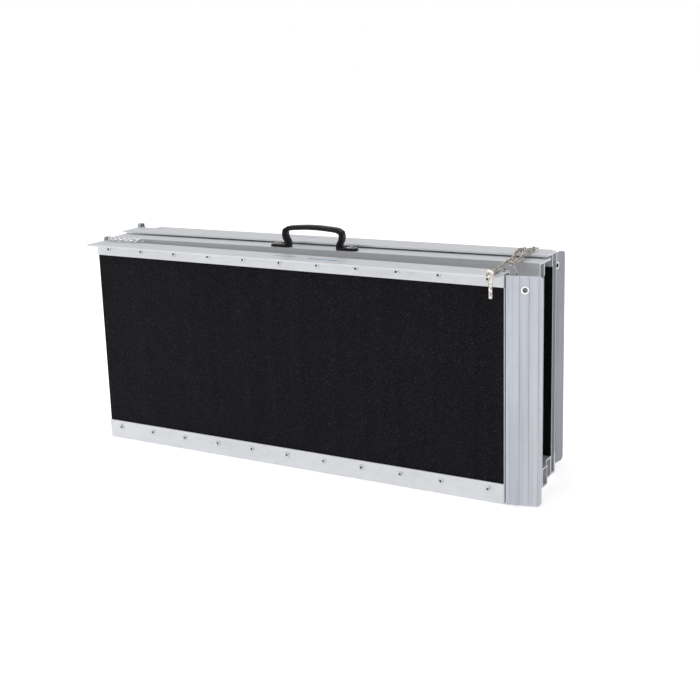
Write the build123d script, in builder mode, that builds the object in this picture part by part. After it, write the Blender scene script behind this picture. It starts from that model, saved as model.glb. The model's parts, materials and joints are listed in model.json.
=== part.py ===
# Portable wheelchair ramp, folded into its carrying shape.
#
# Two lanes, each of two panels that fold end to end on upright pivot bolts, are joined by
# a long hinge at their inner edges. Folded, the four panels stand side by side on their inner
# edges. From the front they are panel 1, 2, 3 and 4: lane A is 1 and 2, lane B is 3 and 4.
# +X runs along the panels from the fold pivots to the noses, +Y from front to back, +Z up.
# The origin is on the bottom of panel 2's inner rail, half way along it.

from build123d import *
from math import cos, radians, sin
import os

# --- panel sections, seen along the length ---
rail_wall = 3.0            # flange, legs and webs of the edge rails
deck_thickness = 17.0      # hollow deck plank, gripped between the legs of the rails
skin = 1.6                 # walls of the deck plank
cell_count = 6             # hollow cells in a deck plank
sheet_thickness = 1.0      # grit sheet bonded to the deck
curb = 29.0                # the top flange stands this far out past the grit side
top_leg = 20.6             # legs of the outer rail, below its flange
bottom_leg = 34.6          # height of the inner rail
end_panel_height = 384.0   # panels 1 and 4
lap_step = 3.8             # the flanges pass each other this far apart at a fold
lane_step = 5.6            # panel 3 stands this much higher than panel 2
box_wall = 2.5             # hinge box of the middle inner rails

# --- lengths ---
end_panel_length = 836.0   # panels 1 and 4, without the transition plate
mid_panel_length = 865.0   # panels 2 and 3
lane_shift = -4.0          # lane B stands this far towards the pivots
cap_depth = 14.0           # end channels that close the decks
cap_wall = 2.0
sheet_inset = 0.5          # the grit sheet stops this short of the panel's ends

# --- spaces between the panels ---
fold_gap = 17.0            # between the undersides at the fold pivots
lane_gap = 47.5            # between the grit sides of panels 2 and 3
end_clearance = 1.0        # from a fold pivot's axis to the panel ends
opening_a = 2.5            # degrees that panel 1 stands open from panel 2
opening_b = -0.7           # degrees that panel 4 leans in towards panel 3

# --- fold pivots ---
bolt_radius = 4.0
pivot_clearance = 0.08
ear_radius = 8.2
ear_thickness = 4.0
ear_leaf = 3.0             # thickness of the leaf welded to the rail
ear_leaf_length = 28.0     # the leaf starts clear of the bolt head
ear_leaf_height = 18.0
lower_leaf_height = 12.0
hex_across = 13.0
bolt_head_height = 5.5
nut_height = 6.5
bolt_tail = 2.0            # the bolt stands out of its nut by this
washer_radius = 8.0
washer_thickness = 1.0
washer_slack = 0.1
lower_ear_height = 26.0    # underside of the upper of the two lower ears

# --- centre hinge ---
hinge_radius = 2.4
hinge_rod_radius = 1.2
hinge_rod_clearance = 0.05
hinge_leaf = 2.0
hinge_leaf_height = 26.0
leaf_clearance = 0.4       # from the middle plane to each leaf
hinge_drop = 0.2           # the hinge axis is this far below the rails
knuckle_clearance = 0.4
hinge_knuckles = 15
hinge_inset = 10.0         # from the shorter panel end to the hinge's end

# --- transition plates ---
plate_length = 55.5        # from the hinge axis to the free edge
plate_thickness = 3.0
plate_rib = 1.4            # height of the raised bands
plate_band = 9.0           # width of a raised band
plate_band_pitch = 15.0
plate_band_start = 10.0    # from the hinge axis to the first band
plate_corner = 7.0
plate_end_clearance = 1.0  # below the flange and above the rail's bottom
plate_knuckles = 9
plate_hinge_radius = 3.4
plate_rod_radius = 1.6
plate_leaf = 1.5
leaf_shy = 0.1             # from the leaf's edge in to the rail's grit side
plate_axis_out = 5.1       # from the panel's end to the hinge axis
plate_axis_depth = 3.5     # from the rail's grit side in to the hinge axis
plate_droop_a = 15.0       # degrees that plate 1 hangs towards the underside
plate_lift_b = 80.0        # degrees that plate 4 is swung out over its grit side
eyelet_radius = 4.2
eyelet_rim = 6.4
eyelet_rim_height = 0.8
eyelet_wall = 1.0
eyelet_out = 28.0          # from the hinge axis
eyelet_drop = 22.0         # from the plate's top edge

# --- rivets ---
rivet_shank = 2.2
rivet_head = 5.0
rivet_head_height = 1.6
rivet_dimple = 2.1         # radius of the mandrel's dimple
rivet_dimple_depth = 0.9
rivet_slack = 0.1
rivet_grip = 6.0           # how deep a rivet reaches into the deck
rivet_end = 28.0
rivet_pitch = 77.0
rivet_row = 12.0           # from a leg's free edge to the rivets

# --- carry handle ---
handle_place = 443.0       # from the fold pivot to the middle of the handle
handle_span = 174.0
handle_height = 41.0
handle_depth = 16.0
handle_foot = 40.0
handle_foot_height = 5.0
handle_foot_flat = 23.0    # flat end of a foot, where its screw stands
grip_height = 9.0
handle_leg = 10.0
handle_round = 2.5         # bevel on the legs and the grip
handle_lean = 10.0         # a leg's top is this much nearer the middle than its foot
screw_radius = 2.5
screw_head = 4.0
screw_head_height = 2.6
screw_slack = 0.1
screw_tail = 4.0           # a screw reaches this far below the flange

# --- split ring, lock pins and chains ---
ring_radius = 11.0
ring_wire = 0.9
ring_hole = 3.0
ring_hole_inset = 5.0      # from the flange's end
ring_depth = 12.0          # from the rail's grit side
pin_radius = 3.1
pin_length = 40.0
pin_eye = 7.0
pin_eye_hole = 2.6
pin_eye_thickness = 4.0
detent_radius = 1.3
detent_sink = 0.4
detent_up = 6.0            # from the pin's tip
pin_inset = 8.0            # from the nose end of panel 1
pin_gap = 0.4              # between the curb's edge and the pin
pin_eye_level = 388.0      # height of the eye above the floor
link_wire = 1.05
link_length = 11.4
link_width = 7.8
link_play = 1.1

os.makedirs("parts", exist_ok=True)

# --- sizes that follow ---
panel_thickness = deck_thickness + 2 * rail_wall
mid_panel_height = end_panel_height + lap_step
hinge_height = -hinge_drop
pivot_offset = fold_gap / 2
leg_start = -mid_panel_length / 2
pivot_a = Vector(leg_start - end_clearance, -pivot_offset - panel_thickness / 2, 0)
span_b = 2 * panel_thickness + lane_gap + fold_gap
pivot_b = pivot_a + Vector(lane_shift, span_b, 0)


def turned(angle):
    """Unit vectors along and across a panel that is turned about +Z."""
    along = Vector(cos(radians(angle)), sin(radians(angle)), 0)
    return along, Vector(-along.Y, along.X, 0)


class Panel:
    """One deck panel: where it stands and which way its grit side faces."""

    def __init__(self, name, pivot, offset, side, turn, base, height, length):
        self.name = name
        self.side = side
        self.turn = turn
        self.base = base
        self.height = height
        self.length = length
        self.along, self.across = turned(turn)
        # The underside face at the panel's fold end.
        self.corner = pivot + self.along * end_clearance + self.across * offset

    def section(self, out=0.0):
        """Plane across the panel: local x runs to the back, local y up."""
        origin = self.corner + self.along * out + Vector(0, 0, self.base)
        return Plane(origin=origin, x_dir=self.across, z_dir=self.along)

    def plan(self, height=0.0):
        """Level plane: local x runs along the panel, local y to the back."""
        origin = self.corner + Vector(0, 0, self.base + height)
        return Plane(origin=origin, x_dir=self.along, z_dir=(0, 0, 1))

    def face(self, depth):
        """Upright plane that faces the grit side, at a depth from the underside."""
        origin = self.corner + self.across * (self.side * depth) + Vector(0, 0, self.base)
        return Plane(origin=origin, x_dir=self.along * -self.side, z_dir=self.across * self.side)

    def flange_top(self):
        return self.base + self.height

    def leg_end(self):
        """Height above the base at which the outer rail's legs end."""
        return self.height - rail_wall - top_leg


panel_1 = Panel("front_end", pivot_a, -pivot_offset, -1, -opening_a, 0.0, end_panel_height, end_panel_length)
panel_2 = Panel("front_middle", pivot_a, pivot_offset, 1, 0.0, 0.0, mid_panel_height, mid_panel_length)
panel_3 = Panel("rear_middle", pivot_b, -pivot_offset, -1, 0.0, lane_step, mid_panel_height, mid_panel_length)
panel_4 = Panel("rear_end", pivot_b, pivot_offset, 1, opening_b, 0.0, end_panel_height, end_panel_length)
hinge_middle = panel_2.corner.Y + panel_thickness + lane_gap / 2


def keep(part, name):
    """Label a finished piece and write its file."""
    part.part.label = name
    export_step(part.part, f"parts/{name}.step")


def bar(side, near, far, low, high, mode=Mode.ADD):
    """Rectangle in a section, from one depth to another and between two heights."""
    with Locations((side * (near + far) / 2, (low + high) / 2)):
        Rectangle(far - near, high - low, mode=mode)


def rivet_spots(panel, rows):
    """Rivet places on the panel's grit side: an even pitch, and a last one near the nose."""
    places = [rivet_end]
    while places[-1] + rivet_pitch < panel.length - rivet_end - rivet_pitch / 4:
        places.append(places[-1] + rivet_pitch)
    places.append(panel.length - rivet_end)
    return [(-panel.side * u, v) for v in rows for u in places]


def rivet_rows(panel):
    """Heights of the rivet rows. A middle panel's lower row is under its hinge box, so it has none."""
    upper = panel.leg_end() + rivet_row
    return [upper] if panel in (panel_2, panel_3) else [upper, bottom_leg - rivet_row]


def drill(panel, rows, depth, start=0.0):
    """Rivet holes from the grit side."""
    with BuildSketch(panel.face(panel_thickness - start)) as holes:
        with Locations(*rivet_spots(panel, rows)):
            Circle(rivet_shank + rivet_slack)
    extrude(holes.sketch, amount=-depth, mode=Mode.SUBTRACT)


def handle_screw_spots():
    """Places of the handle's screws on the flange of panel 2."""
    reach = (handle_span - handle_foot_flat) / 2
    return [(handle_place - end_clearance + shift, panel_thickness / 2) for shift in (-reach, reach)]


def outer_rail(panel, with_ear):
    """Top rail: two legs that grip the deck and a flange that stands out as the curb."""
    top = panel.height
    under = top - rail_wall
    with BuildPart() as rail:
        with BuildSketch(panel.section()):
            bar(panel.side, 0, panel_thickness + curb, under, top)
            bar(panel.side, 0, rail_wall, panel.leg_end(), under)
            bar(panel.side, panel_thickness - rail_wall, panel_thickness, panel.leg_end(), under)
        extrude(amount=panel.length)
        drill(panel, rivet_rows(panel)[:1], rail_wall)
        if with_ear:
            # The ear reaches over the fold gap to the pivot bolt.
            reach = -panel.side * pivot_offset
            with BuildSketch(panel.plan(under)):
                with Locations((-end_clearance, reach)):
                    Circle(ear_radius)
                with Locations(((ear_radius - end_clearance) / 2, reach / 2)):
                    Rectangle(ear_radius + end_clearance, pivot_offset)
            extrude(amount=rail_wall)
            with BuildSketch(panel.plan(under)):
                with Locations((-end_clearance, reach)):
                    Circle(bolt_radius + pivot_clearance)
            extrude(amount=rail_wall, mode=Mode.SUBTRACT)
        if panel is panel_1:
            with BuildSketch(panel.plan(under)):
                with Locations((panel.length - ring_hole_inset, panel.side * (panel_thickness - ring_depth))):
                    Circle(ring_hole)
            extrude(amount=rail_wall, mode=Mode.SUBTRACT)
        if panel is panel_2:
            with BuildSketch(panel.plan(under)):
                with Locations(*handle_screw_spots()):
                    Circle(screw_radius + screw_slack)
            extrude(amount=rail_wall, mode=Mode.SUBTRACT)
    keep(rail, f"{panel.name}_outer_rail")


def inner_rail(panel):
    """Bottom rail: a channel round the deck's edge, with a hinge box on the middle panels."""
    box_far = panel_thickness + lane_gap / 2 - leaf_clearance - hinge_leaf
    with BuildPart() as rail:
        with BuildSketch(panel.section()):
            bar(panel.side, 0, panel_thickness, 0, rail_wall)
            bar(panel.side, 0, rail_wall, rail_wall, bottom_leg)
            bar(panel.side, panel_thickness - rail_wall, panel_thickness, rail_wall, bottom_leg)
            if panel in (panel_2, panel_3):
                bar(panel.side, panel_thickness, box_far, 0, bottom_leg)
                bar(panel.side, panel_thickness, box_far - box_wall, box_wall, bottom_leg - box_wall, Mode.SUBTRACT)
        extrude(amount=panel.length)
        if panel in (panel_2, panel_3):
            # Room for the hinge barrel along the lower edge of the box.
            with BuildSketch(hinge_plane(-mid_panel_length)):
                Circle(hinge_radius + knuckle_clearance)
            extrude(amount=2 * mid_panel_length, mode=Mode.SUBTRACT)
        else:
            drill(panel, rivet_rows(panel)[1:], rail_wall)
    keep(rail, f"{panel.name}_inner_rail")


def deck(panel):
    """Hollow plank between the rails and between the end channels."""
    far = rail_wall + deck_thickness
    low = rail_wall
    high = panel.height - rail_wall
    cell = (high - low - skin) / cell_count
    with BuildPart() as plank:
        with BuildSketch(panel.section(cap_depth)):
            bar(panel.side, rail_wall, far, low, high)
            for index in range(cell_count):
                start = low + skin + index * cell
                bar(panel.side, rail_wall + skin, far - skin, start, start + cell - skin, Mode.SUBTRACT)
        extrude(amount=panel.length - 2 * cap_depth)
        drill(panel, rivet_rows(panel), skin, rail_wall)
        if panel is panel_2:
            with BuildSketch(panel.plan(high)):
                with Locations(*handle_screw_spots()):
                    Circle(screw_radius + screw_slack)
            extrude(amount=-skin, mode=Mode.SUBTRACT)
    keep(plank, f"{panel.name}_deck")


def grit_sheet(panel):
    """Grit sheet on the deck, between the legs of the two rails."""
    near = rail_wall + deck_thickness
    with BuildPart() as sheet:
        with BuildSketch(panel.section(sheet_inset)):
            bar(panel.side, near, near + sheet_thickness, bottom_leg, panel.leg_end())
        extrude(amount=panel.length - 2 * sheet_inset)
    keep(sheet, f"{panel.name}_grit_sheet")


def end_channel(panel, start, outward, name):
    """Upright channel that closes one end of the deck, open towards the deck."""
    with BuildPart() as channel:
        with BuildSketch(panel.plan(rail_wall)):
            with Locations((start + outward * cap_depth / 2, panel.side * panel_thickness / 2)):
                Rectangle(cap_depth, deck_thickness)
            with Locations((start + outward * (cap_depth - cap_wall) / 2, panel.side * panel_thickness / 2)):
                Rectangle(cap_depth - cap_wall, deck_thickness - 2 * cap_wall, mode=Mode.SUBTRACT)
        extrude(amount=panel.leg_end() - rail_wall)
    keep(channel, f"{panel.name}_{name}")


def rivets(panel):
    """Dome rivets with a dimple, through the rail's leg and the deck's wall."""
    spots = rivet_spots(panel, rivet_rows(panel))
    face = panel.face(panel_thickness)
    with BuildPart() as group:
        with BuildSketch(face):
            with Locations(*spots):
                Circle(rivet_head)
        extrude(amount=rivet_head_height)
        rims = group.edges().filter_by(lambda e: face.to_local_coords(e.center()).Z > rivet_head_height / 2)
        fillet(rims, rivet_head_height * 0.8)
        with BuildSketch(face.offset(rivet_head_height)):
            with Locations(*spots):
                Circle(rivet_dimple)
        extrude(amount=-rivet_dimple_depth, mode=Mode.SUBTRACT)
        with BuildSketch(face):
            with Locations(*spots):
                Circle(rivet_shank)
        extrude(amount=-rail_wall - rivet_grip)
    keep(group, f"{panel.name}_rivets")


def ear(panel, low, leaf_low, leaf_high):
    """One pivot ear with its leaf, on the underside of a panel."""
    reach = -panel.side * pivot_offset
    height = low - panel.base
    with BuildSketch(panel.plan(height)) as lug:
        with Locations((-end_clearance, reach)):
            Circle(ear_radius)
        with Locations(((ear_radius - end_clearance) / 2, reach / 2)):
            Rectangle(ear_radius + end_clearance, pivot_offset)
    extrude(lug.sketch, amount=ear_thickness)
    with BuildSketch(panel.plan(leaf_low - panel.base)) as strip:
        with Locations((ear_radius - end_clearance + ear_leaf_length / 2, -panel.side * ear_leaf / 2)):
            Rectangle(ear_leaf_length, ear_leaf)
    extrude(strip.sketch, amount=leaf_high - leaf_low)
    with BuildSketch(panel.plan(height)) as hole:
        with Locations((-end_clearance, reach)):
            Circle(bolt_radius + pivot_clearance)
    extrude(hole.sketch, amount=ear_thickness, mode=Mode.SUBTRACT)


def fold_pivots(pivot, eared, carried, tag):
    """The two bolted pivots of one lane. The bolts stay with the carried panel's ears."""
    gap = washer_thickness + 2 * washer_slack
    upper = eared.flange_top() - rail_wall - gap - ear_thickness
    lower = lower_ear_height - gap - ear_thickness
    with BuildPart() as lower_ear:
        ear(eared, lower_ear_height, lower_ear_height, lower_ear_height + lower_leaf_height)
    keep(lower_ear, f"{eared.name}_lower_ear")
    with BuildPart() as ears:
        ear(carried, upper, upper + ear_thickness - ear_leaf_height, upper + ear_thickness)
        ear(carried, lower, lower + ear_thickness - lower_leaf_height, lower + ear_thickness)
    keep(ears, f"{carried.name}_pivot_ears")
    heads = [eared.flange_top() + washer_slack, lower_ear_height + ear_thickness + washer_slack]
    feet = [upper, lower]
    spot = Vector(pivot.X, pivot.Y, 0)
    with BuildPart() as bolts:
        for head, foot in zip(heads, feet):
            with BuildSketch(Plane(origin=spot + Vector(0, 0, head))):
                RegularPolygon(hex_across / 2, 6, major_radius=False)
            extrude(amount=bolt_head_height)
            with BuildSketch(Plane(origin=spot + Vector(0, 0, foot - nut_height - bolt_tail))):
                Circle(bolt_radius)
            extrude(amount=head - foot + nut_height + bolt_tail)
    keep(bolts, f"fold_bolts_{tag}")
    with BuildPart() as nuts:
        for foot in feet:
            with BuildSketch(Plane(origin=spot + Vector(0, 0, foot))):
                RegularPolygon(hex_across / 2, 6, major_radius=False)
                Circle(bolt_radius + pivot_clearance, mode=Mode.SUBTRACT)
            extrude(amount=-nut_height)
    keep(nuts, f"fold_nuts_{tag}")
    with BuildPart() as washers:
        for foot in feet:
            with BuildSketch(Plane(origin=spot + Vector(0, 0, foot + ear_thickness + washer_slack))):
                Circle(washer_radius)
                Circle(bolt_radius + pivot_clearance, mode=Mode.SUBTRACT)
            extrude(amount=washer_thickness)
    keep(washers, f"fold_washers_{tag}")


def hinge_plane(place):
    """Plane across the centre hinge, centred on its axis."""
    return Plane(origin=(place, hinge_middle, hinge_height), x_dir=(0, 1, 0), z_dir=(1, 0, 0))


def centre_hinge():
    """Long butt hinge between the inner rails of panels 2 and 3."""
    start = max(panel_2.corner.X, panel_3.corner.X) + hinge_inset
    end = min(panel_2.corner.X, panel_3.corner.X) + mid_panel_length - hinge_inset
    knuckle = (end - start) / hinge_knuckles
    for parity, side, name in ((0, -1, "hinge_leaf_front"), (1, 1, "hinge_leaf_rear")):
        with BuildPart() as leaf:
            with BuildSketch(hinge_plane(start)):
                Circle(hinge_radius)
                bar(side, leaf_clearance, leaf_clearance + hinge_leaf, 0, hinge_leaf_height)
            extrude(amount=end - start)
            for index in range(1 - parity, hinge_knuckles, 2):
                with BuildSketch(hinge_plane(start + index * knuckle - knuckle_clearance / 2)):
                    Circle(hinge_radius + knuckle_clearance)
                extrude(amount=knuckle + knuckle_clearance, mode=Mode.SUBTRACT)
            with BuildSketch(hinge_plane(start)):
                Circle(hinge_rod_radius + hinge_rod_clearance)
            extrude(amount=end - start, mode=Mode.SUBTRACT)
        keep(leaf, name)
    with BuildPart() as rod:
        with BuildSketch(hinge_plane(start)):
            Circle(hinge_rod_radius)
        extrude(amount=end - start)
    keep(rod, "hinge_rod")


def transition_plate(panel, swing, tag):
    """Ribbed plate hinged to a panel's nose, with its hinge leaf, its rod and an eyelet."""
    side = panel.side
    low = plate_end_clearance
    high = panel.height - rail_wall - plate_end_clearance
    leaf_low = rail_wall
    leaf_high = panel.leg_end()
    leaf_edge = panel_thickness - leaf_shy
    knuckle = (leaf_high - leaf_low) / plate_knuckles
    axis_u = panel.length + plate_axis_out
    axis_depth = panel_thickness - plate_axis_depth
    axis = panel.plan().from_local_coords((axis_u, side * axis_depth, 0))
    along, across = turned(panel.turn + side * swing)

    def level(height):
        return Plane(origin=axis + Vector(0, 0, height), x_dir=along, z_dir=(0, 0, 1))

    with BuildPart() as plate:
        with BuildSketch(level(low)):
            Circle(plate_hinge_radius)
            with Locations((plate_length / 2, side * (plate_hinge_radius - plate_thickness / 2))):
                Rectangle(plate_length, plate_thickness)
            band = plate_band_start
            while band + plate_band < plate_length:
                with Locations((band + plate_band / 2, side * (plate_hinge_radius + plate_rib / 2))):
                    Rectangle(plate_band, plate_rib)
                band += plate_band_pitch
        extrude(amount=high - low)
        upright = Plane(origin=axis, x_dir=along * -side, z_dir=across * side)
        with BuildSketch(upright) as outline:
            with Locations((-side * (plate_length - plate_hinge_radius) / 2, (low + high) / 2)):
                Rectangle(plate_length + plate_hinge_radius, high - low)
            # The hinge axis is local x = 0, so the free edge's corners are the far ones.
            fillet(outline.vertices().sort_by_distance((0, (low + high) / 2, 0))[-2:], plate_corner)
        extrude(amount=4 * plate_hinge_radius, both=True, mode=Mode.INTERSECT)
        for index in range(0, plate_knuckles, 2):
            with BuildSketch(level(leaf_low + index * knuckle - knuckle_clearance / 2)):
                Circle(plate_hinge_radius + knuckle_clearance)
            extrude(amount=knuckle + knuckle_clearance, mode=Mode.SUBTRACT)
        with BuildSketch(level(low)):
            Circle(plate_rod_radius + hinge_rod_clearance)
        extrude(amount=high - low, mode=Mode.SUBTRACT)
        with BuildSketch(upright):
            with Locations((-side * eyelet_out, high - eyelet_drop)):
                Circle(eyelet_radius + eyelet_wall)
        extrude(amount=4 * plate_hinge_radius, both=True, mode=Mode.SUBTRACT)
    keep(plate, f"transition_plate_{tag}")
    with BuildPart() as leaf:
        with BuildSketch(panel.plan(leaf_low)):
            with Locations((panel.length + plate_leaf / 2, side * (rail_wall + leaf_edge) / 2)):
                Rectangle(plate_leaf, leaf_edge - rail_wall)
            with Locations((panel.length + plate_axis_out / 2, side * (axis_depth - plate_hinge_radius + plate_leaf / 2))):
                Rectangle(plate_axis_out, plate_leaf)
            with Locations((axis_u, side * axis_depth)):
                Circle(plate_hinge_radius)
        extrude(amount=leaf_high - leaf_low)
        for index in range(1, plate_knuckles, 2):
            with BuildSketch(level(leaf_low + index * knuckle - knuckle_clearance / 2)):
                Circle(plate_hinge_radius + knuckle_clearance)
            extrude(amount=knuckle + knuckle_clearance, mode=Mode.SUBTRACT)
        with BuildSketch(level(leaf_low)):
            Circle(plate_rod_radius + hinge_rod_clearance)
        extrude(amount=leaf_high - leaf_low, mode=Mode.SUBTRACT)
    keep(leaf, f"plate_hinge_leaf_{tag}")
    with BuildPart() as rod:
        with BuildSketch(level(low)):
            Circle(plate_rod_radius)
        extrude(amount=high - low)
    keep(rod, f"plate_rod_{tag}")
    # The eyelet lines the hole: a short tube with a rim on each face of the plate.
    with BuildPart() as eyelet:
        place = (-side * eyelet_out, high - eyelet_drop)
        near = upright.offset(plate_hinge_radius - plate_thickness)
        far_depth = plate_thickness + plate_rib
        with BuildSketch(near):
            with Locations(place):
                Circle(eyelet_radius + eyelet_wall)
        extrude(amount=far_depth)
        for plane, rise in ((near, -eyelet_rim_height), (near.offset(far_depth), eyelet_rim_height)):
            with BuildSketch(plane):
                with Locations(place):
                    Circle(eyelet_rim)
            extrude(amount=rise)
        with BuildSketch(near.offset(-eyelet_rim_height)):
            with Locations(place):
                Circle(eyelet_radius)
        extrude(amount=far_depth + 2 * eyelet_rim_height, mode=Mode.SUBTRACT)
    keep(eyelet, f"plate_eyelet_{tag}")


def carry_handle():
    """Arched handle on the flange of panel 2, and its two screws."""
    half = handle_span / 2
    leg = half - handle_foot_flat
    arch = leg - handle_lean
    bend = handle_height - grip_height
    foot = handle_foot_height
    outer = [(half, 0), (half, foot), (leg + foot, foot), (leg, 2 * foot), (leg, bend), (arch, handle_height)]
    inner = [(arch - foot, bend), (leg - handle_leg, foot * 2), (leg - handle_leg, foot), (half - handle_foot, foot * 0.6),
             (half - handle_foot, 0)]
    top = panel_2.height
    middle = panel_2.plan(top).from_local_coords((handle_place - end_clearance, panel_thickness / 2, 0))
    upright = Plane(origin=middle, x_dir=(1, 0, 0), z_dir=(0, -1, 0))
    with BuildPart() as handle:
        with BuildSketch(upright):
            with BuildLine():
                right = outer + [(-x, y) for x, y in reversed(outer)]
                left = [(-x, y) for x, y in reversed(inner)] + inner
                Polyline(*right, *left, close=True)
            make_face()
        extrude(amount=handle_depth / 2, both=True)
        for edge_side in (-1, 1):
            rim = handle.edges().filter_by(lambda e: abs(upright.to_local_coords(e.center()).Z - edge_side
                                                         * handle_depth / 2) < 0.01)
            chamfer(rim.filter_by(lambda e: e.center().Z > top + foot * 1.5), handle_round)
        with BuildSketch(Plane(origin=middle)):
            with Locations(*[(x - handle_place + end_clearance, 0) for x, y in handle_screw_spots()]):
                Circle(screw_radius + screw_slack)
        extrude(amount=handle_height, mode=Mode.SUBTRACT)
    keep(handle, "carry_handle")
    with BuildPart() as screws:
        for x, y in handle_screw_spots():
            spot = panel_2.plan(top).from_local_coords((x, y, 0))
            with BuildSketch(Plane(origin=spot + Vector(0, 0, foot))):
                Circle(screw_head)
            extrude(amount=screw_head_height)
            with BuildSketch(Plane(origin=spot + Vector(0, 0, -rail_wall - screw_tail))):
                Circle(screw_radius)
            extrude(amount=rail_wall + screw_tail + foot)
        heads = screws.edges().filter_by(GeomType.CIRCLE).group_by(Axis.Z)[-1]
        fillet(heads, screw_head_height * 0.6)
    keep(screws, "handle_screws")


def spot_on(panel, u, depth, height):
    """Point given along a panel, in from its underside, and above the floor."""
    return panel.plan().from_local_coords((u, panel.side * depth, height - panel.base))


def chain(route, name):
    """Welded links along a route, every second one turned a quarter."""
    straight = (link_length - link_width) / 2
    bend = link_width / 2 - link_wire
    pitch = link_length - 4 * link_wire - link_play
    with BuildPart() as link:
        with BuildLine():
            Line((0, bend, -straight), (0, bend, straight))
            ThreePointArc((0, bend, straight), (0, 0, straight + bend), (0, -bend, straight))
            Line((0, -bend, straight), (0, -bend, -straight))
            ThreePointArc((0, -bend, -straight), (0, 0, -straight - bend), (0, bend, -straight))
        with BuildSketch(Plane(origin=(0, bend, -straight), z_dir=(0, 0, 1))):
            Circle(link_wire)
        sweep()
    path = Spline(*route)
    count = int(path.length / pitch)
    with BuildPart() as links:
        for index in range(count):
            place = path.location_at(index * pitch / path.length, frame_method=FrameMethod.CORRECTED)
            add(link.part.moved(place * Location((0, 0, 0), (0, 0, 90 * (index % 2)))))
    keep(links, name)
    print(name, count, "links,", round(path.length), "mm")


def lock_pin(eye, name):
    """Flat-eyed pin that hangs from its eye, with a detent ball near the tip."""
    upright = Plane(origin=eye, x_dir=(1, 0, 0), z_dir=(0, -1, 0))
    neck = pin_eye - pin_eye_thickness / 2
    with BuildPart() as pin:
        with BuildSketch(upright):
            Circle(pin_eye)
            Circle(pin_eye_hole, mode=Mode.SUBTRACT)
        extrude(amount=pin_eye_thickness / 2, both=True)
        with BuildSketch(Plane(origin=eye + Vector(0, 0, -neck), z_dir=(0, 0, -1))):
            Circle(pin_radius)
        extrude(amount=pin_length - neck)
        chamfer(pin.edges().filter_by(GeomType.CIRCLE).sort_by(Axis.Z)[0], pin_radius * 0.4)
        with Locations(eye + Vector(0, detent_sink - pin_radius, detent_up - pin_length)):
            Sphere(detent_radius)
    keep(pin, name)


def split_ring():
    """Ring through the hole at the nose end of panel 1's flange."""
    place = spot_on(panel_1, panel_1.length - ring_hole_inset + ring_radius, panel_thickness - ring_depth,
                    panel_1.height - rail_wall / 2)
    with BuildPart() as ring:
        with BuildSketch(Plane(origin=place + panel_1.along * ring_radius, x_dir=panel_1.along, z_dir=(0, 0, 1))):
            Circle(ring_wire)
        revolve(axis=Axis(place, panel_1.across))
    keep(ring, "split_ring")


for each in (panel_1, panel_2, panel_3, panel_4):
    outer_rail(each, each in (panel_1, panel_3))
    inner_rail(each)
    deck(each)
    grit_sheet(each)
    end_channel(each, 0, 1, "fold_channel")
    end_channel(each, each.length, -1, "nose_channel")
    rivets(each)
fold_pivots(pivot_a, panel_1, panel_2, "front")
fold_pivots(pivot_b, panel_3, panel_4, "rear")
centre_hinge()
transition_plate(panel_1, -plate_droop_a, "front")
transition_plate(panel_4, plate_lift_b, "rear")
carry_handle()
split_ring()


# Chains and pins. Their points are given along panel 2, back from its underside, and above the floor.
on_1 = panel_1.flange_top() + link_width / 2
on_2 = panel_2.flange_top() + link_width / 2
on_3 = panel_3.flange_top() + link_width / 2
chain([spot_on(panel_2, *spot) for spot in (
    (841, -65, on_2 + 7.5), (839, -42, on_2 + 2), (834, -8, on_2 + 2), (828, 16, on_2 + 1.4), (826, 36, on_3 + 1.6),
    (826, 58, on_3 + 0.9), (828, 74, on_3 + 0.9), (834, 85, on_3 + 0.9))], "nose_chain")
chain([spot_on(panel_2, *spot) for spot in (
    (825, -98, on_1 + 1.5), (823, -82, on_1 + 0.4), (821, -60, on_1 + 1), (821, -36, on_2 + 0.5), (820, -8, on_2 + 1.5),
    (815, 14, on_2 + 1.6), (813, 36, on_3 + 1.8), (813, 56, on_3 + 1.0), (816, 76, on_3 + 1.0))], "nose_pin_chain")
lock_pin(spot_on(panel_1, panel_1.length - pin_inset, panel_thickness + curb + pin_radius + pin_gap, pin_eye_level),
         "nose_lock_pin")
chain([spot_on(panel_1, *spot) for spot in (
    (14, 2, on_1 + 0.3), (32, 4.5, on_1 + 0.3), (56, 3.5, on_1 + 0.3), (74, 2, on_1 + 0.5), (86, -5, on_1 + 0.2),
    (89, -8.5, on_1 - 8))], "fold_chain")
lock_pin(spot_on(panel_1, 90, -8.5, panel_1.flange_top() - 16), "fold_lock_pin")
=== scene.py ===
import json
import math

import bmesh
import bpy
from mathutils import Matrix, Vector


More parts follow.
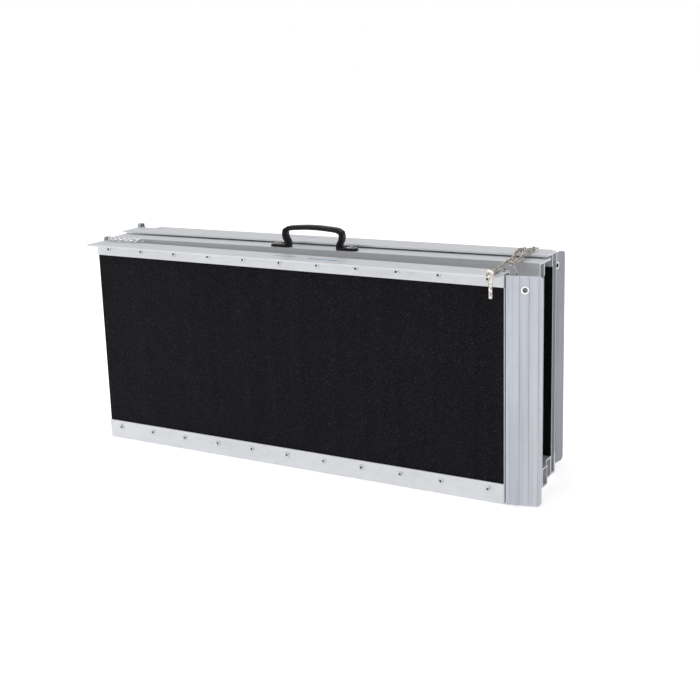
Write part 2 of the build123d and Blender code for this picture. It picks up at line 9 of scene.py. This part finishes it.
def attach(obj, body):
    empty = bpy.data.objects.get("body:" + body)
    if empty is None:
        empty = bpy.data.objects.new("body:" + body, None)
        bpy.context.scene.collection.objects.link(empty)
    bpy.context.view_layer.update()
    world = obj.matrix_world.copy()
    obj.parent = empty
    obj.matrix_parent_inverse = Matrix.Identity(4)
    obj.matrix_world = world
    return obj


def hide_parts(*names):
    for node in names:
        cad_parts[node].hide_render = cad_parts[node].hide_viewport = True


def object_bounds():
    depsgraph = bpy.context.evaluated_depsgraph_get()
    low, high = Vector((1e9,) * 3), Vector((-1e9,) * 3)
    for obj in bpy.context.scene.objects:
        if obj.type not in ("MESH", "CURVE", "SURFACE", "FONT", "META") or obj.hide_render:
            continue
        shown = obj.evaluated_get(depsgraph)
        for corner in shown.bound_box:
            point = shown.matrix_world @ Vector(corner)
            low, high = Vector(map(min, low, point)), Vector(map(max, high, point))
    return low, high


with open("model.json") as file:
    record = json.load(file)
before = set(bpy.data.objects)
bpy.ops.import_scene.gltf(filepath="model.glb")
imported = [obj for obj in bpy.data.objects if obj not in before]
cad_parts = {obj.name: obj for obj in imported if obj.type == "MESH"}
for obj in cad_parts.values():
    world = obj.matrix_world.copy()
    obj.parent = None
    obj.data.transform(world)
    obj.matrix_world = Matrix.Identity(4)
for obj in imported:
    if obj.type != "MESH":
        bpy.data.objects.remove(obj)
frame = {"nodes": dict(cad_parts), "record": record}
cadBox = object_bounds()
nodes = frame["nodes"]
panels = {  # side the grit faces, and the panel's turn in degrees
    "front_end": (-1, -2.5),
    "front_middle": (1, 0.0),
    "rear_middle": (-1, 0.0),
    "rear_end": (1, -0.7),
}
print("frame loaded:", len(nodes), "nodes")


# shader maths

class Wire:
    # A node's output that can stand in an expression.
    def __init__(self, shade, socket):
        self.shade = shade
        self.socket = socket

    def maths(self, operation, *values):
        node = self.shade.make("ShaderNodeMath", {"operation": operation}, *values)
        return self.shade.wire(node)

    def __add__(self, other):
        return self.maths("ADD", self, other)

    def __sub__(self, other):
        return self.maths("SUBTRACT", self, other)

    def __rsub__(self, other):
        return self.maths("SUBTRACT", other, self)

    def __mul__(self, other):
        return self.maths("MULTIPLY", self, other)

    def __gt__(self, other):
        return self.maths("GREATER_THAN", self, other)

    def __lt__(self, other):
        return self.maths("LESS_THAN", self, other)

    __radd__ = __add__
    __rmul__ = __mul__


class Shade:
    # The nodes of one material or of the world, and the ways to add to them.
    def __init__(self, owner):
        owner.use_nodes = True
        self.owner = owner
        self.tree = owner.node_tree
        self.tree.nodes.clear()

    def make(self, kind, settings=None, *values, **named):
        node = self.tree.nodes.new(kind)
        for key, value in (settings or {}).items():
            if key == "stops":
                self.setRamp(node.color_ramp, value)
            else:
                setattr(node, key, value)
        for index, value in enumerate(values):
            self.fill(node.inputs[index], value)
        for key, value in named.items():
            self.fill(node.inputs[key.replace("_", " ")], value)
        return node

    def fill(self, socket, value):
        if isinstance(value, Wire):
            self.tree.links.new(value.socket, socket)
        elif socket.type == "RGBA":
            socket.default_value = (*value, 1)
        else:
            socket.default_value = value

    def setRamp(self, ramp, stops):
        while len(ramp.elements) < len(stops):
            ramp.elements.new(0.5)
        for element, (place, colour) in zip(ramp.elements, stops):
            element.position = place
            element.color = (*colour, 1)

    def wire(self, node, output=0):
        return Wire(self, node.outputs[output])

    def place(self, scale=(1, 1, 1), turn=(0, 0, 0)):
        coordinates = self.wire(self.make("ShaderNodeTexCoord"), "Object")
        return self.wire(self.make("ShaderNodeMapping", None, Vector=coordinates, Scale=scale, Rotation=turn))

    def noise(self, scale, detail=3.0, turn=(0, 0, 0)):
        node = self.make("ShaderNodeTexNoise", None, Vector=self.place(scale, turn), Scale=1.0, Detail=detail)
        return self.wire(node, "Fac")

    def ramp(self, value, stops):
        return self.wire(self.make("ShaderNodeValToRGB", {"stops": stops}, Fac=value))

    def spread(self, value, low, high, start=0.0, end=1.0):
        node = self.make("ShaderNodeMapRange", None, value, low, high, start, end)
        return self.wire(node)

    def mix(self, factor, first, second, blend="MIX"):
        node = self.make("ShaderNodeMix", {"data_type": "RGBA", "blend_type": blend})
        for index, value in ((0, factor), (6, first), (7, second)):  # its sockets for colours
            self.fill(node.inputs[index], value)
        return self.wire(node, 2)

    def bump(self, height, distance, strength=1.0):
        node = self.make("ShaderNodeBump", None, Strength=strength, Distance=distance, Height=height)
        return self.wire(node)

    def finish(self, **sockets):
        surface = self.make("ShaderNodeBsdfPrincipled", None, **sockets)
        self.make("ShaderNodeOutputMaterial", None, self.wire(surface))
        return self.owner


# finishes

def drawnMetal(name, settings, turn=0.0):
    # Extruded metal: fine lines along one axis, soft clouding and scattered handling marks.
    shade = Shade(bpy.data.materials.new(name))
    along, across = settings["lineLength"], settings["lineWidth"]
    scales = {"x": (1 / along, 1 / across, 1 / across), "z": (1 / across, 1 / across, 1 / along)}
    scale = scales[settings["axis"]]
    broad = tuple(step * across / settings["bandWidth"] if step == 1 / across else step for step in scale)
    withPanel = (0, 0, math.radians(-turn))
    lines = shade.noise(scale, 4.0, withPanel)
    bands = shade.spread(shade.noise(broad, 1.0, withPanel), *settings["bandRange"])
    cloud = shade.noise((settings["cloud"],) * 3, 3.0)
    marks = shade.noise(settings["markScale"], 6.0, settings["markTurn"])
    marks = shade.spread(marks, *settings["markRange"])
    shine = lines * settings["lineShare"] + cloud * (1 - settings["lineShare"])
    colour = shade.mix(shade.spread(shine, 0.3, 0.7), settings["dark"], settings["light"])
    colour = shade.mix(bands * settings["bands"], colour, settings["light"])
    colour = shade.mix(marks * settings["marks"], colour, settings["mark"])
    dull, glossy = settings["rough"] + settings["roughSwing"], settings["rough"] - settings["roughSwing"]
    rough = shade.spread(shine, 0.3, 0.7, dull, glossy) + marks * settings["markRough"]
    normal = shade.bump(lines, settings["depth"], 0.5)
    return shade.finish(Base_Color=colour, Metallic=settings["metallic"], Roughness=rough, Normal=normal)


def gritFinish(settings):
    # Crushed mineral grains bonded to a black sheet.
    shade = Shade(bpy.data.materials.new("grit"))
    coarse = shade.make("ShaderNodeTexVoronoi", None, Vector=shade.place(), Scale=1 / settings["grain"])
    fine = shade.make("ShaderNodeTexVoronoi", None, Vector=shade.place(),
                      Scale=settings["fineGrains"] / settings["grain"])
    pick = shade.wire(shade.make("ShaderNodeSeparateColor", None, shade.wire(coarse, "Color")), "Red")
    bright = pick > settings["brightFrom"]
    bands = shade.noise((1 / settings["band"], 1 / settings["band"], 1 / settings["bandLength"]), 2.0)
    cloud = shade.noise((settings["cloud"],) * 3, 4.0)
    tone = shade.spread(pick * 0.6 + bands * 0.9 + cloud * 0.5, *settings["toneRange"])
    colour = shade.mix(tone, settings["dark"], settings["light"])
    colour = shade.mix(bright * settings["brightMix"], colour, settings["bright"])
    grain = 1.0 - shade.wire(coarse, "Distance") * 0.7 - shade.wire(fine, "Distance") * 0.3
    rough = shade.spread(pick, 0.0, 1.0, settings["roughHigh"], settings["roughLow"])
    return shade.finish(Base_Color=colour, Roughness=rough, Specular_IOR_Level=settings["specular"],
                        Normal=shade.bump(grain, settings["height"], 0.9))


# What every plated part shares.
plating = {"stainAndSheen": 210, "stainAndSheenRange": (0.42, 0.68), "scuff": (900, 500, 1400)}


def platedMetal(name, settings):
    # Small plated parts: even plating with a little staining and fine scuffs. Where a finish's light and dark
    # tones lie far apart, as on nickel, the staining mask also paints reflection contrast.
    shade = Shade(bpy.data.materials.new(name))
    stainAndSheen = shade.spread(shade.noise((plating["stainAndSheen"],) * 3, 4.0), *plating["stainAndSheenRange"])
    scuff = shade.noise(plating["scuff"], 5.0)
    colour = shade.mix(stainAndSheen, settings["light"], settings["dark"])
    rough = stainAndSheen * 0.14 + scuff * 0.12 + settings["rough"]
    return shade.finish(Base_Color=colour, Metallic=1.0, Roughness=rough,
                        Normal=shade.bump(scuff, settings["depth"], 0.4))


def mouldedPlastic(name, settings):
    # Spark-eroded mould texture, polished a little where hands rub it.
    shade = Shade(bpy.data.materials.new(name))
    grain = shade.noise((1 / settings["grain"],) * 3, 2.0)
    rubbed = shade.spread(shade.noise((settings["rubbed"],) * 3, 3.0), *settings["rubbedRange"])
    colour = shade.mix(rubbed, settings["dark"], settings["light"])
    rough = settings["rough"] + grain * 0.12 - rubbed * 0.1
    return shade.finish(Base_Color=colour, Roughness=rough, Specular_IOR_Level=settings["specular"],
                        Normal=shade.bump(grain, settings["depth"], 0.6))


def labelFinish(name, settings):
    # Printed bars along a label, with no lettering.
    shade = Shade(bpy.data.materials.new(name))
    unturned = shade.place(turn=(0, 0, math.radians(settings["turn"])))
    place = shade.make("ShaderNodeSeparateXYZ", None, unturned)
    across = shade.wire(place, "Y")
    along = shade.wire(place, "X")
    bar = (across > settings["barFrom"]) * (across < settings["barTo"])
    bar = bar * (along > settings["startAt"]) * (along < settings["endAt"])
    wear = shade.noise((400, 400, 400), 4.0)
    colour = shade.mix(bar, settings["paper"], settings["ink"])
    colour = shade.mix(shade.spread(wear, 0.55, 0.75) * 0.25, colour, settings["paper"])
    return shade.finish(Base_Color=colour, Roughness=wear * 0.1 + 0.32)


railMetal = {"axis": "x", "lineLength": 0.35, "lineWidth": 0.0011, "lineShare": 0.65, "depth": 0.00002,
             "dark": (0.57, 0.58, 0.60), "light": (0.70, 0.71, 0.74), "metallic": 0.45,
             "bandWidth": 0.006, "bandRange": (0.35, 0.65), "bands": 0.3, "cloud": 9,
             "mark": (0.40, 0.41, 0.43), "marks": 0.25, "markRough": 0.08, "markRange": (0.62, 0.74),
             "markScale": (60, 160, 60), "markTurn": (0.3, 0.2, 0.5), "rough": 0.42, "roughSwing": 0.07}
plateMetal = {**railMetal, "axis": "z", "dark": (0.36, 0.38, 0.42), "light": (0.56, 0.58, 0.63), "rough": 0.4,
              "bands": 0.7}
# The same metal as the front plate: the darker tone only stands in for the shade that it lies in.
rearPlateMetal = {**plateMetal, "dark": (0.15, 0.155, 0.19), "light": (0.34, 0.35, 0.41), "bandWidth": 0.004}
deckMetal = {**railMetal, "dark": (0.40, 0.41, 0.42), "light": (0.58, 0.59, 0.60), "rough": 0.46}
hingeMetal = {**railMetal, "lineLength": 0.1, "dark": (0.46, 0.47, 0.49), "light": (0.64, 0.65, 0.68),
              "rough": 0.4}
rivetMetal = {"light": (0.66, 0.67, 0.69), "dark": (0.45, 0.46, 0.48), "rough": 0.24, "depth": 0.00001}
zinc = {"light": (0.40, 0.43, 0.43), "dark": (0.16, 0.19, 0.19), "rough": 0.26, "depth": 0.00002}
# Nickel plating: the wide gap between its light and dark tones paints reflection contrast, beyond any real
# staining.
nickelWithPaintedSheen = {"light": (0.74, 0.70, 0.65), "dark": (0.16, 0.13, 0.11), "rough": 0.12, "depth": 0.00001}
brightZinc = {"light": (0.93, 0.94, 0.96), "dark": (0.62, 0.64, 0.67), "rough": 0.2, "depth": 0.00001}
rodSteel = {"light": (0.55, 0.56, 0.57), "dark": (0.38, 0.38, 0.39), "rough": 0.3, "depth": 0.00001}
# Steel of the mandrel stubs, made near black to paint the shade in the rivets' dimples.
mandrelSteelAndDimpleShade = {"light": (0.05, 0.05, 0.055), "dark": (0.02, 0.02, 0.022), "rough": 0.45, "depth": 0.00002}
grit = {"grain": 0.0009, "fineGrains": 2.2, "band": 0.02, "bandLength": 1 / 1.2, "cloud": 14,
        "toneRange": (0.6, 1.5), "specular": 0.14,
        "brightFrom": 0.975, "brightMix": 0.5, "bright": (0.06, 0.06, 0.066),
        "dark": (0.0012, 0.0012, 0.002), "light": (0.006, 0.006, 0.0085), "roughLow": 0.62, "roughHigh": 0.95,
        "height": 0.0005}
blackPlastic = {"grain": 0.0007, "dark": (0.0025, 0.0025, 0.003), "light": (0.006, 0.006, 0.007),
                "rough": 0.34,
                "rubbed": 38, "rubbedRange": (0.45, 0.7), "specular": 0.22, "depth": 0.00006}

finishes = {
    "rail": {name: drawnMetal("rail_" + name, railMetal, turn) for name, (side, turn) in panels.items()},
    "deck": drawnMetal("deck_metal", deckMetal),
    "plate": drawnMetal("plate_metal", plateMetal),
    "rearPlate": drawnMetal("rear_plate_metal", rearPlateMetal),
    "hinge": drawnMetal("hinge_metal", hingeMetal),
    "rivet": platedMetal("rivet_metal", rivetMetal),
    "zinc": platedMetal("zinc", zinc),
    "nickelWithPaintedSheen": platedMetal("nickelWithPaintedSheen", nickelWithPaintedSheen),
    "bright": platedMetal("bright_zinc", brightZinc),
    "rod": platedMetal("rod_steel", rodSteel),
    "mandrel": platedMetal("mandrel_steel_and_dimple_shade", mandrelSteelAndDimpleShade),
    "grit": gritFinish(grit),
    "handle": mouldedPlastic("handle_plastic", blackPlastic),
}


def finishOf(name):
    endings = (("grit_sheet", "grit"), ("rivets", "rivet"), ("deck", "deck"), ("channel", "deck"))
    for ending, finish in endings:
        if name.endswith(ending):
            return finishes[finish]
    if name == "fold_chain" or "eyelet" in name:
        return finishes["bright"]
    if "chain" in name or name.endswith("lock_pin") or name == "split_ring":
        return finishes["nickelWithPaintedSheen"]
    if "rod" in name:
        return finishes["rod"]
    if name.startswith(("fold_", "handle_screws")):
        return finishes["zinc"]
    if name == "transition_plate_rear":
        return finishes["rearPlate"]
    if "transition_plate" in name or name.startswith("plate_hinge"):
        return finishes["plate"]
    if "hinge_leaf" in name:
        return finishes["hinge"]
    for panel in panels:
        if name.startswith(panel):
            return finishes["rail"][panel]
    return finishes["handle"]


for name, node in nodes.items():
    node.data.materials.clear()
    node.data.materials.append(finishOf(name))
print("finishes set")


# modelling

def deselectAll():
    bpy.ops.object.select_all(action="DESELECT")


def makeActive(piece):
    deselectAll()
    piece.select_set(True)
    bpy.context.view_layer.objects.active = piece


def finishPiece(piece, name, finish, body):
    makeActive(piece)
    bpy.ops.object.transform_apply(location=True, rotation=True, scale=True)
    piece.name = name
    piece.data.name = name
    piece.data.materials.clear()
    piece.data.materials.append(finish)
    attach(piece, body)
    return piece


def selectFaces(piece, test):
    # In edit mode: selects the faces whose middle and normal pass the test.
    mesh = bmesh.from_edit_mesh(piece.data)
    chosen = [face for face in mesh.faces if test(face.calc_center_median(), face.normal)]
    bpy.ops.mesh.select_all(action="DESELECT")
    for face in chosen:
        face.select = True
    bmesh.update_edit_mesh(piece.data)


def addModifier(piece, kind, **settings):
    modifier = piece.modifiers.new(kind, kind)
    for key, value in settings.items():
        setattr(modifier, key, value)
    makeActive(piece)
    bpy.ops.object.modifier_apply(modifier=modifier.name)


# carry handle

handle = {
    "middle": (0.0095, 0.0, 0.3878),
    "depth": 0.016,
    "gripHeight": 0.0078,
    "firstLength": 0.01,
    # The bar's centre line from the grip's middle to the foot: x, z and the cut's tilt in degrees.
    "stations": [(0.018, 0.0366, 2), (0.036, 0.0354, 5), (0.0495, 0.0339, 10), (0.0565, 0.0300, 50),
                 (0.0575, 0.0230, 84), (0.0560, 0.0165, 106), (0.0525, 0.0105, 112), (0.0515, 0.0050, 90),
                 (0.0515, 0.0, 90)],
    "gripCentre": 0.037,
    "footEnd": 0.087,
    "footDepth": 0.0165,
    "footTop": 0.0045,          # faces lower than this on the leg's last side start the foot
    "footSteps": (0.006, 0.018),
    "footTaper": (1, 0.55, 0.8),
    "bevel": 0.0020,
}
facing = 0.9  # a face points along an axis when its normal reaches this far along it


def makeHandle():
    middle = Vector(handle["middle"])
    deselectAll()
    bpy.ops.mesh.primitive_cube_add(size=1)
    bar = bpy.context.object
    bar.scale = (handle["firstLength"], handle["depth"], handle["gripHeight"])
    bar.location = (handle["firstLength"] / 2, 0, handle["gripCentre"])
    bpy.ops.object.transform_apply(location=True, rotation=True, scale=True)
    bpy.ops.object.mode_set(mode="EDIT")
    bpy.ops.mesh.select_mode(type="FACE")
    selectFaces(bar, lambda centre, normal: normal.x < -facing)
    bpy.ops.mesh.delete(type="FACE")
    selectFaces(bar, lambda centre, normal: normal.x > facing)
    here, tilt = Vector((handle["firstLength"], 0, handle["gripCentre"])), 0.0
    for x, z, turn in handle["stations"]:
        there = Vector((x, 0, z))
        bpy.ops.mesh.extrude_region_move(TRANSFORM_OT_translate={"value": there - here})
        mesh = bmesh.from_edit_mesh(bar.data)
        bmesh.ops.rotate(mesh, cent=there, matrix=Matrix.Rotation(math.radians(turn - tilt), 3, "Y"),
                         verts=[vert for vert in mesh.verts if vert.select])
        bmesh.update_edit_mesh(bar.data)
        here, tilt = there, turn
    # The foot grows out of the leg's last side.
    selectFaces(bar, lambda centre, normal: normal.x > facing and centre.z < handle["footTop"])
    bpy.ops.transform.resize(value=(1, handle["footDepth"] / handle["depth"], 1))
    for step in handle["footSteps"]:
        bpy.ops.mesh.extrude_region_move(TRANSFORM_OT_translate={"value": (step, 0, 0)})
    end = handle["footEnd"] - max(vert.co.x for vert in bmesh.from_edit_mesh(bar.data).verts)
    bpy.ops.mesh.extrude_region_move(TRANSFORM_OT_translate={"value": (end, 0, 0)})
    bpy.ops.transform.resize(value=handle["footTaper"], center_override=(handle["footEnd"], 0, 0))
    bpy.ops.mesh.select_all(action="SELECT")
    bpy.ops.mesh.normals_make_consistent(inside=False)
    bpy.ops.object.mode_set(mode="OBJECT")
    addModifier(bar, "MIRROR", use_axis=(True, False, False), use_clip=True)
    addModifier(bar, "BEVEL", width=handle["bevel"], segments=3, limit_method="ANGLE",
                angle_limit=math.radians(35))
    makeActive(bar)
    bpy.ops.object.shade_smooth_by_angle(angle=math.radians(40))
    bar.location = middle
    finishPiece(bar, "carry_handle_moulding", finishes["handle"], "front_middle_panel")
    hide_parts("carry_handle")


# bright plates under the handle's screws: a guess, with no solid of their own in the frame

footPlate = {"length": 0.018, "depth": 0.011, "thickness": 0.0007, "corner": 0.0032, "edge": 0.0003,
             "foot": 0.005, "reach": 0.0755, "sink": 0.00002}


def makeFootPlates():
    plates = []
    for side in (-1, 1):
        deselectAll()
        bpy.ops.mesh.primitive_plane_add(size=1)
        plate = bpy.context.object
        plate.scale = (footPlate["length"], footPlate["depth"], 1)
        bpy.ops.object.transform_apply(location=True, rotation=True, scale=True)
        bpy.ops.object.mode_set(mode="EDIT")
        bpy.ops.mesh.select_all(action="SELECT")
        bpy.ops.mesh.bevel(offset=footPlate["corner"], segments=5, affect="VERTICES")
        bpy.ops.object.mode_set(mode="OBJECT")
        addModifier(plate, "SOLIDIFY", thickness=footPlate["thickness"], offset=1.0)
        addModifier(plate, "BEVEL", width=footPlate["edge"], segments=2)
        offset = Vector((side * footPlate["reach"], 0, footPlate["foot"] - footPlate["sink"]))
        plate.location = Vector(handle["middle"]) + offset
        makeActive(plate)
        bpy.ops.object.transform_apply(location=True, rotation=True, scale=True)
        plates.append(plate)
    makeActive(plates[0])
    plates[1].select_set(True)
    bpy.ops.object.join()
    finishPiece(plates[0], "handle_foot_plates", finishes["nickelWithPaintedSheen"], "front_middle_panel")


makeHandle()
makeFootPlates()
print("handle made")


# rivet mandrels: steel stubs in the rivets' dimples, made near black to paint the shade in the dimples

mandrel = {"radius": 0.002, "length": 0.0009, "sides": 12, "sink": 0.0006, "inset": 0.35, "crown": 0.3}
rimDepth = 2e-5  # points this close to a rivet's top make up its rim


def rivetPlaces(panel):
    # The middle of each rivet's rim, found from the loose parts of the rivets' mesh.
    side, turn = panels[panel]
    normal = Vector((-math.sin(math.radians(turn)), math.cos(math.radians(turn)), 0)) * side
    mesh = bmesh.new()
    mesh.from_mesh(nodes[panel + "_rivets"].data)
    bmesh.ops.remove_doubles(mesh, verts=mesh.verts, dist=1e-6)
    seen, places = set(), []
    for start in mesh.verts:
        if start in seen:
            continue
        seen.add(start)
        part, stack = [], [start]
        while stack:
            vert = stack.pop()
            part.append(vert.co.copy())
            for edge in vert.link_edges:
                other = edge.other_vert(vert)
                if other not in seen:
                    seen.add(other)
                    stack.append(other)
        top = max(point.dot(normal) for point in part)
        rim = [point for point in part if point.dot(normal) > top - rimDepth]
        low = Vector([min(point[axis] for point in rim) for axis in range(3)])
        high = Vector([max(point[axis] for point in rim) for axis in range(3)])
        places.append((low + high) / 2)
    mesh.free()
    return places, normal


def makeMandrels(panel, body):
    places, normal = rivetPlaces(panel)
    deselectAll()
    bpy.ops.mesh.primitive_cylinder_add(vertices=mandrel["sides"], radius=mandrel["radius"],
                                        depth=mandrel["length"])
    model = bpy.context.object
    bpy.ops.object.mode_set(mode="EDIT")
    bpy.ops.mesh.select_mode(type="FACE")
    selectFaces(model, lambda centre, facet: facet.z > facing)
    bpy.ops.mesh.inset(thickness=mandrel["radius"] * mandrel["inset"])
    bpy.ops.transform.translate(value=(0, 0, mandrel["radius"] * mandrel["crown"]))
    bpy.ops.object.mode_set(mode="OBJECT")
    turn = normal.to_track_quat("Z", "Y").to_matrix().to_4x4()
    copies = []
    for place in places:
        copy = model.copy()
        copy.data = model.data.copy()
        bpy.context.scene.collection.objects.link(copy)
        copy.data.transform(Matrix.Translation(place - normal * mandrel["sink"]) @ turn)
        copies.append(copy)
    bpy.data.objects.remove(model)
    makeActive(copies[0])
    for copy in copies:
        copy.select_set(True)
    bpy.ops.object.join()
    finishPiece(copies[0], "rivet_mandrels_" + panel, finishes["mandrel"], body)


for panel in panels:
    makeMandrels(panel, panel + "_panel")
print("mandrels made")


# dark tubes in the plates' holes, which paint the shade inside the bores: added for the look, with no solid
# of their own in the frame

holeShadeTube = {"radius": 0.0042, "wall": 0.0005, "length": 0.0054, "sides": 48, "edge": 0.00012}


def makeHoleShadeTube(tag):
    mount = next(each for each in frame["record"]["mounts"] if each["name"] == "plate_hole_" + tag)
    deselectAll()
    bpy.ops.mesh.primitive_cylinder_add(vertices=holeShadeTube["sides"], radius=holeShadeTube["radius"],
                                        depth=holeShadeTube["length"])
    tube = bpy.context.object
    bpy.ops.object.mode_set(mode="EDIT")
    bpy.ops.mesh.select_mode(type="FACE")
    selectFaces(tube, lambda centre, normal: abs(normal.z) > facing)
    bpy.ops.mesh.inset(thickness=holeShadeTube["wall"])
    bpy.ops.mesh.bridge_edge_loops()
    bpy.ops.object.mode_set(mode="OBJECT")
    addModifier(tube, "BEVEL", width=holeShadeTube["edge"], segments=2, limit_method="ANGLE")
    tube.rotation_euler = Vector(mount["axis"]).to_track_quat("Z", "Y").to_euler()
    tube.location = mount["pos_m"]
    finishPiece(tube, "hole_liner_" + tag, finishes["handle"], "plate_" + tag)


for tag in ("front", "rear"):
    makeHoleShadeTube(tag)
print("liners made")


# labels

labels = {
    "blue_label": {"panel": "front_end", "from": (0.036, -0.0815), "to": (0.102, -0.0735), "height": 0.384,
                   "paper": (0.70, 0.78, 0.86), "ink": (0.01, 0.13, 0.34)},
    "grey_label": {"panel": "front_end", "from": (-0.034, -0.070), "to": (0.014, -0.064), "height": 0.384,
                   "paper": (0.55, 0.56, 0.58), "ink": (0.30, 0.31, 0.33)},
    "pale_label": {"panel": "rear_middle", "from": (-0.088, 0.070), "to": (-0.021, 0.077), "height": 0.3934,
                   "paper": (0.66, 0.68, 0.73), "ink": (0.38, 0.43, 0.52)},
}
# The sheet's own sizes, then the bar's edges as shares of its width and length from its middle.
labelStock = {"corner": 0.0012, "thickness": 0.00012, "lift": 0.00002,
              "barFrom": 0.32, "barTo": 0.42, "startAt": 0.44, "endAt": 0.46}


def makeLabel(name, settings):
    (left, front), (right, back) = settings["from"], settings["to"]
    wide, deep = right - left, back - front
    deselectAll()
    bpy.ops.mesh.primitive_plane_add(size=1)
    label = bpy.context.object
    label.scale = (wide, deep, 1)
    bpy.ops.object.transform_apply(location=True, rotation=True, scale=True)
    bpy.ops.object.mode_set(mode="EDIT")
    bpy.ops.mesh.select_all(action="SELECT")
    bpy.ops.mesh.bevel(offset=labelStock["corner"], segments=4, affect="VERTICES")
    bpy.ops.object.mode_set(mode="OBJECT")
    addModifier(label, "SOLIDIFY", thickness=labelStock["thickness"], offset=1.0)
    panelTurn = panels[settings["panel"]][1]
    turn = math.radians(panelTurn)
    middle = Vector(((left + right) / 2, (front + back) / 2, settings["height"] + labelStock["lift"]))
    label.location = middle
    label.rotation_euler = (0, 0, turn)
    unturned = Matrix.Rotation(-turn, 4, "Z") @ middle
    finish = labelFinish(name, {**settings, "turn": -panelTurn,
                                "barFrom": unturned.y - deep * labelStock["barFrom"],
                                "barTo": unturned.y + deep * labelStock["barTo"],
                                "startAt": unturned.x - wide * labelStock["startAt"],
                                "endAt": unturned.x + wide * labelStock["endAt"]})
    finishPiece(label, name, finish, settings["panel"] + "_panel")


for name, settings in labels.items():
    makeLabel(name, settings)
print("labels made")


# studio and camera

studio = {
    "floor": cadBox[0].z,
    "floorSize": 40,
    "floorGlow": 0.5,
    "ground": 0.35,
    "horizon": 0.52,
    "sky": 0.95,
    "heights": (-0.6, 0.9),   # from the ground's tone to the sky's
    "horizonAt": 0.42,
    "right": 0.3,             # how dark the studio grows towards +X
    "rightRange": (0.1, 1.0),
    "aim": (0, 0, 0.2),
    "lights": [("key", (-1.6, -2.2, 2.6), 2.4, 27.0), ("top", (0.2, 0.4, 3.0), 3.0, 14.0)],  # size, power
}


def makeFloor():
    deselectAll()
    bpy.ops.mesh.primitive_plane_add(size=studio["floorSize"], location=(0, 0, studio["floor"]))
    floor = bpy.context.object
    floor.name = "floor"
    shade = Shade(bpy.data.materials.new("floor_white"))
    floor.data.materials.append(shade.finish(Base_Color=(0.9, 0.9, 0.9), Roughness=0.9,
                                             Emission_Color=(1.0, 1.0, 1.0),
                                             Emission_Strength=studio["floorGlow"]))


def makeWorld():
    # Lights the object with a soft gradient, and looks plain white where the camera sees past the floor.
    world = bpy.data.worlds.new("studio")
    bpy.context.scene.world = world
    shade = Shade(world)
    coordinates = shade.wire(shade.make("ShaderNodeTexCoord"), "Generated")
    split = shade.make("ShaderNodeSeparateXYZ", None, coordinates)
    height = shade.spread(shade.wire(split, "Z"), *studio["heights"])
    tones = ((0.0, studio["ground"]), (studio["horizonAt"], studio["horizon"]), (1.0, studio["sky"]))
    tone = shade.ramp(height, [(place, (grey,) * 3) for place, grey in tones])
    darker = shade.spread(shade.wire(split, "X"), *studio["rightRange"], 1.0, studio["right"])
    tone = shade.mix(1.0, tone, darker, "MULTIPLY")
    seen = shade.wire(shade.make("ShaderNodeLightPath"), "Is Camera Ray")
    background = shade.make("ShaderNodeBackground", None, shade.mix(seen, tone, (1, 1, 1)))
    shade.make("ShaderNodeOutputWorld", None, shade.wire(background))


def makeLight(name, place, size, power):
    light = bpy.data.objects.new(name, bpy.data.lights.new(name, "AREA"))
    light.data.size = size
    light.data.energy = power
    light.location = place
    light.rotation_euler = (Vector(studio["aim"]) - Vector(place)).to_track_quat("-Z", "Y").to_euler()
    bpy.context.scene.collection.objects.link(light)


makeFloor()
makeWorld()
for light in studio["lights"]:
    makeLight(*light)

camera = {"place": (1.1281, -1.9225, 0.7558), "azimuth": 28.7, "elevation": 14.0, "roll": -1.7, "lens": 65.6}


def makeCamera():
    eye = bpy.data.objects.new("camera", bpy.data.cameras.new("camera"))
    eye.data.lens = camera["lens"]
    eye.location = camera["place"]
    azimuth, elevation = math.radians(camera["azimuth"]), math.radians(camera["elevation"])
    level = math.cos(elevation)
    towards = Vector((-math.sin(azimuth) * level, math.cos(azimuth) * level, -math.sin(elevation)))
    aimed = towards.to_track_quat("-Z", "Y").to_matrix().to_4x4()
    eye.rotation_euler = (aimed @ Matrix.Rotation(math.radians(camera["roll"]), 4, "Z")).to_euler()
    bpy.context.scene.collection.objects.link(eye)
    bpy.context.scene.camera = eye
    bpy.context.scene.view_settings.view_transform = "Standard"


makeCamera()
print("studio set")
